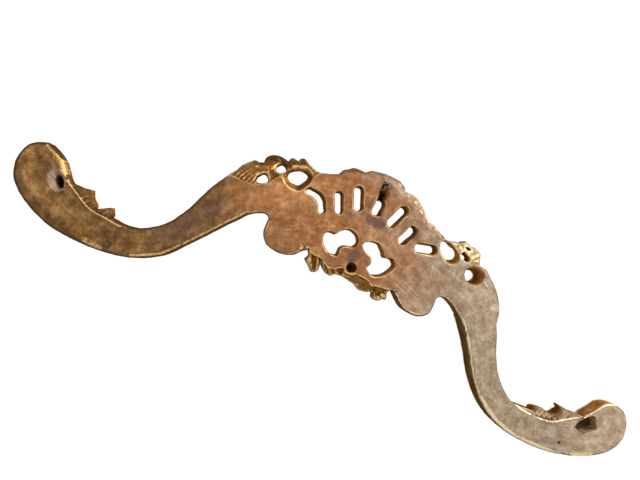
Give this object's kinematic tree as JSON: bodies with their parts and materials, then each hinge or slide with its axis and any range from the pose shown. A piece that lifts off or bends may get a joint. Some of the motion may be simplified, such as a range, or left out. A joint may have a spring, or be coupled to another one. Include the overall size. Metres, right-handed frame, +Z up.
{
  "type": "over-door pediment",
  "caption": "Carved and gilded wooden over-door pediment: a pierced shell between two scroll arms, flat at the back for fixing to a wall.",
  "frame": {"origin": "on the flat back, on the middle line, just below the shell's middle slot", "axes": "+Z up as it hangs over a door, +Y out of the flat back into the wall, carved front facing -Y, +X to the right seen from the front"},
  "size_m": [1.1, 0.047, 0.3122],
  "materials": {
    "gilt_wood": "worn gold leaf on carved wood, bronze-brown painted back"
  },
  "bodies": {
    "root": {"carved_pediment": "gilt_wood"}
  },
  "joints": []
}
